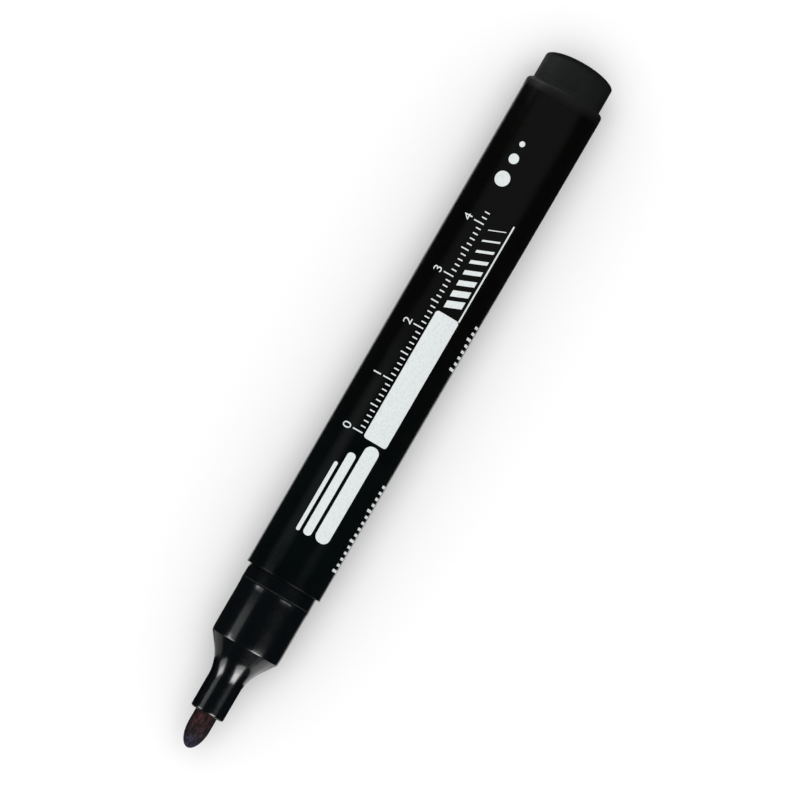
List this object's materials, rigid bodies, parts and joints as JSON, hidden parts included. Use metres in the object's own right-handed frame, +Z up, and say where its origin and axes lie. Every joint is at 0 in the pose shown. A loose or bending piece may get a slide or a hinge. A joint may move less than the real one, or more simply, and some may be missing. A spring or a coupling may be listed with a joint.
{
  "type": "permanent marker",
  "caption": "Uncapped bullet-nib permanent marker: tapered black barrel with a domed end plug, a stepped nose section and a fibre nib fed by a wrapped ink reservoir.",
  "frame": {"origin": "on the table under the middle of the marker, which lies on its side", "axes": "+X along the marker, towards the nib; +Z up"},
  "size_m": [0.1318, 0.0142, 0.0142],
  "materials": {
    "satin_black_plastic": "satin moulded, white print",
    "matt_black_plastic": "matt moulded charcoal",
    "gloss_black_plastic": "polished moulded",
    "inked_fibre": "bonded fibres stained by ink",
    "soaked_fibre": "loose fibres soaked with ink",
    "pale_film": "thin film"
  },
  "bodies": {
    "barrel": {"barrel": "satin_black_plastic", "reservoir_core": "soaked_fibre", "reservoir_sheath": "pale_film"},
    "end_plug": {"end_plug": "matt_black_plastic"},
    "nose_section": {"nose_section": "gloss_black_plastic"},
    "nib": {"nib": "inked_fibre"}
  },
  "joints": [
    {"name": "nose_pull", "type": "slide", "parent": "barrel", "child": "nose_section", "axis": [1, 0, 0], "range_m": [0, 0.011]},
    {"name": "plug_pull", "type": "slide", "parent": "barrel", "child": "end_plug", "axis": [-1, 0, 0], "range_m": [0, 0.008]},
    {"name": "nib_pull", "type": "slide", "parent": "nose_section", "child": "nib", "axis": [1, 0, 0], "range_m": [0, 0.0285]}
  ]
}
